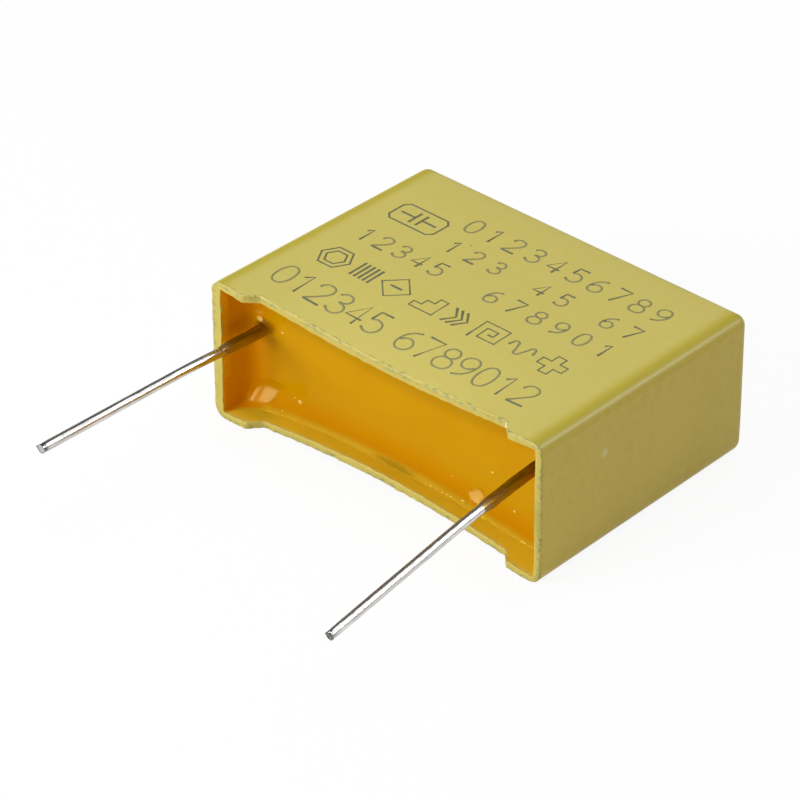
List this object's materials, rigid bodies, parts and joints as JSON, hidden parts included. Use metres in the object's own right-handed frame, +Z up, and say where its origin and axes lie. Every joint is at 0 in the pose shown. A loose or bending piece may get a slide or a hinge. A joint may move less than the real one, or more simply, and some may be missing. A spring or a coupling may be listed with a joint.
{
  "type": "polypropylene film capacitor",
  "caption": "Rectangular moulded box capacitor with a resin-filled mouth, short stand-off feet and parallel tinned wire leads.",
  "frame": {"origin": "centre of the broad wall the part rests on, halfway between the foot tips and the back", "axes": "+X from the left lead to the right lead, +Y from the mouth to the closed back (leads point to -Y), +Z up through the thickness"},
  "size_m": [0.0264, 0.0348, 0.0099],
  "materials": {
    "case_plastic": "satin moulded, olive yellow",
    "resin": "glossy cast amber",
    "metallised_film": "smooth, silvery",
    "sprayed_metal": "rough, grey",
    "tinned_wire": "bright tin"
  },
  "bodies": {
    "root": {"case": "case_plastic", "potting_resin": "resin", "film_winding": "metallised_film", "left_end_spray": "sprayed_metal", "right_end_spray": "sprayed_metal", "left_lead": "tinned_wire", "right_lead": "tinned_wire"}
  },
  "joints": []
}
